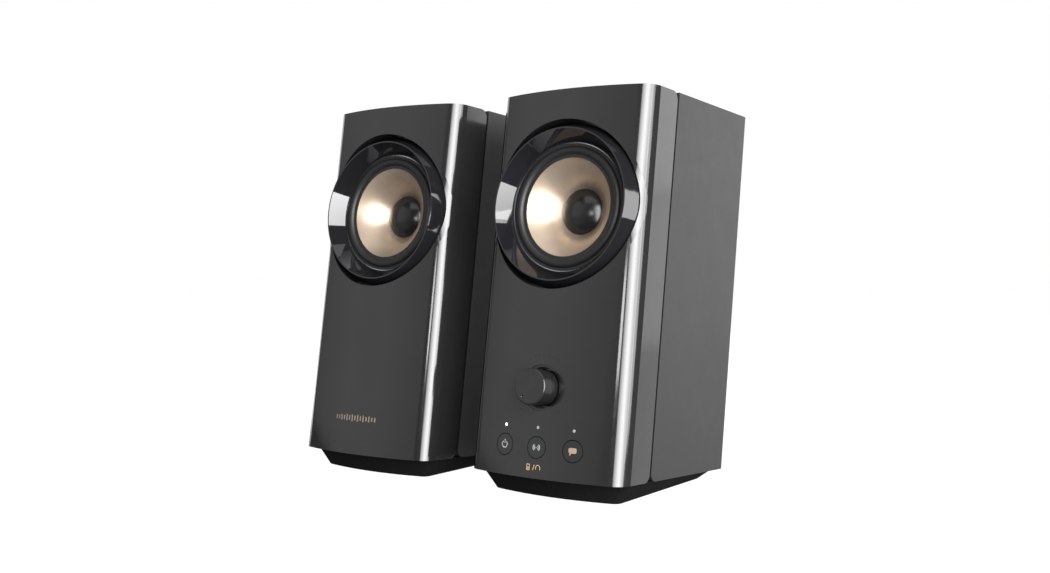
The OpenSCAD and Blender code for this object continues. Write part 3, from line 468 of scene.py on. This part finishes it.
rods, tree, shader, where = new_material("light_rods")
apart = tree.nodes.new("ShaderNodeSeparateXYZ")
tree.links.new(where, apart.inputs[0])
lit = spread(tree, apart.outputs["X"], 1, 0, PITCH / 2 - 0.011, PITCH / 2 - 0.009)
haze = noise(tree, where, 0.0004, 2)
tree.links.new(spread(tree, haze, 0.2, 0.35), shader.inputs["Roughness"])
tree.links.new(shade(tree, lit, (0.16, 0.17, 0.18), (0.9, 0.92, 0.95)), shader.inputs["Base Color"])
tree.links.new(shade(tree, lit, (0.1, 0.1, 0.1), (1, 1, 1)), shader.inputs["Emission Color"])
shader.inputs["Emission Strength"].default_value = 1.2
dress("indicator_lights", rods)

# ---- Bars on the left front ---------------------------------------------------------
# A row of fifteen slim bars, like the levels of a sound, is printed in a muted bronze
# low on the left front.

bronze = grained("muted_bronze_ink", (0.30, 0.235, 0.185), 0.35, grain=0.0003, depth=3e-6, metallic=0.6)
BARS, BARS_U = 15, 0.0192
places = np.linspace(-0.0155, 0.0125, BARS)
swell = np.sin(np.linspace(0.35, math.pi - 0.35, BARS))
by_turns = 0.7 + 0.3 * np.cos(np.arange(BARS) * math.pi)
levels = [line(a, BARS_U - h, a, BARS_U + h) for a, h in zip(places, 0.0008 + 0.0011 * swell * by_turns)]
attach(printed("level_bars", "left", levels, 0.0008, bronze), "left_speaker")

# ---- Electronics --------------------------------------------------------------------
# Glass-fibre boards with green solder resist carry the sockets, the amplifier's heatsink
# and its capacitors. The sockets' noses come out through the rear panel.


def circuit_board(name):
    """Green resist over copper tracks, which run square to each other."""
    m, tree, shader, where = new_material(name)
    brick = tree.nodes.new("ShaderNodeTexBrick")
    brick.inputs["Scale"].default_value = 260
    brick.inputs["Mortar Size"].default_value = 0.12
    tree.links.new(where, brick.inputs["Vector"])
    resist = shade(tree, brick.outputs["Fac"], (0.012, 0.09, 0.035), (0.03, 0.17, 0.07))
    tree.links.new(resist, shader.inputs["Base Color"])
    tree.links.new(spread(tree, noise(tree, where, 0.004), 0.3, 0.42), shader.inputs["Roughness"])
    relief(tree, shader, brick.outputs["Fac"], 2e-5)
    return m


board_green = circuit_board("circuit_board")
for name in ("control_board", "amplifier_board", "link_board"):
    dress(name, board_green)
dress("heatsink", grained("black_anodised_alloy", (0.05, 0.05, 0.052), 0.4, grain=0.0005, depth=8e-6,
                          metallic=0.8))
dress("capacitors", grained("capacitor_sleeve", (0.02, 0.022, 0.05), 0.35, grain=0.0006, depth=5e-6))
dress("button_switches", grained("switch_nylon", (0.03, 0.03, 0.03), 0.5))
socket_abs = grained("socket_nylon", (0.02, 0.02, 0.021), 0.42, grain=0.0004, depth=6e-6)
for name in ("power_inlet", "audio_sockets", "link_socket"):
    dress(name, socket_abs)

# ---- Floor, light and air -----------------------------------------------------------
# A pale floor, a large softbox at the right with a strip beside it and three steps of
# light behind it, a small lamp for the glint of the caps, and soft fills.

floor_mesh = bpy.data.meshes.new("floor")
floor_mesh.from_pydata([(-12, -12, 0), (12, -12, 0), (12, 12, 0), (-12, 12, 0)], [], [(0, 1, 2, 3)])
paper, tree, shader, where = new_material("pale_paper")
fibres = spread(tree, noise(tree, where, 0.01), 0, 1)
tree.links.new(shade(tree, fibres, (0.14, 0.14, 0.14), (0.16, 0.16, 0.16)), shader.inputs["Base Color"])
shader.inputs["Roughness"].default_value = 0.9
shader.inputs["Specular IOR Level"].default_value = 0.0
shader.inputs["Emission Color"].default_value = (1, 1, 1, 1)
shader.inputs["Emission Strength"].default_value = 0.985
floor_mesh.materials.append(paper)
floor = bpy.data.objects.new("floor", floor_mesh)
bpy.context.collection.objects.link(floor)
floor.visible_glossy = False
floor.visible_diffuse = False
floor.visible_shadow = False


def feather(lamp, edge):
    """Dims a lamp towards its sides: full in the middle, falling over edge of its width."""
    lamp.use_nodes = True
    tree = lamp.node_tree
    glow = tree.nodes["Emission"]
    spot = tree.nodes.new("ShaderNodeNewGeometry")
    apart = tree.nodes.new("ShaderNodeSeparateXYZ")
    tree.links.new(spot.outputs["Parametric"], apart.inputs[0])
    rise = spread(tree, apart.outputs["X"], 0.25, 1, 0, edge)
    fall = spread(tree, apart.outputs["X"], 1, 0.25, 1 - edge, 1)
    both = tree.nodes.new("ShaderNodeMath")
    both.operation = "MULTIPLY"
    tree.links.new(rise, both.inputs[0])
    tree.links.new(fall, both.inputs[1])
    tree.links.new(both.outputs[0], glow.inputs["Strength"])


def softbox(name, azimuth, distance, height, width, tall, radiance, edge=0):
    """A rectangle of light facing the pair. Azimuth 0 is in front of it, 90 at its right."""
    lamp = bpy.data.lights.new(name, "AREA")
    lamp.shape = "RECTANGLE"
    lamp.size, lamp.size_y = width, tall
    lamp.energy = radiance * math.pi * width * tall
    box = bpy.data.objects.new(name, lamp)
    bpy.context.collection.objects.link(box)
    a = math.radians(azimuth)
    box.location = (distance * math.sin(a), -distance * math.cos(a), height)
    aim = Vector((0, 0, 0.1)) - box.location
    box.rotation_euler = aim.to_track_quat("-Z", "Y").to_euler()
    box.visible_camera = False
    if edge:
        feather(lamp, edge)
    return box


softbox("key", 60, 0.95, 0.265, 1.05, 0.91, 20, edge=0.45)
softbox("rear_key", 158, 1.0, 0.375, 0.62, 0.35, 2.3)
softbox("rear_key_middle", 158, 1.0, 0.10, 0.62, 0.20, 1.8)
softbox("rear_key_low", 158, 1.0, -0.13, 0.62, 0.26, 1.1)
softbox("front_fill", -42, 1.3, 0.55, 2.5, 1.1, 0.70, edge=0.4)
softbox("front_fill_low", -42, 1.3, -0.25, 2.5, 0.5, 0.36, edge=0.4)
softbox("left_fill", -110, 1.2, 0.35, 1.0, 0.9, 2.2)
softbox("back_fill", -155, 1.2, 0.35, 1.0, 0.9, 2.2)
softbox("top_fill", 20, 0.5, 1.3, 1.2, 1.2, 1.3)
softbox("side_strip", 92, 0.95, 0.28, 0.30, 0.60, 7)
softbox("cap_glint", 20, 0.9, 0.27, 0.14, 0.14, 14)

air = bpy.data.worlds.new("air")
bpy.context.scene.world = air
air.use_nodes = True
tree = air.node_tree
tree.nodes.clear()
seen = tree.nodes.new("ShaderNodeLightPath")
white, dim = (tree.nodes.new("ShaderNodeBackground") for _ in range(2))
white.inputs["Color"].default_value = (1, 1, 1, 1)
dim.inputs["Color"].default_value = (0.06, 0.06, 0.062, 1)
mix = tree.nodes.new("ShaderNodeMixShader")
out = tree.nodes.new("ShaderNodeOutputWorld")
tree.links.new(seen.outputs["Is Camera Ray"], mix.inputs[0])
tree.links.new(dim.outputs[0], mix.inputs[1])
tree.links.new(white.outputs[0], mix.inputs[2])
tree.links.new(mix.outputs[0], out.inputs["Surface"])
bpy.context.scene.view_settings.view_transform = "Standard"
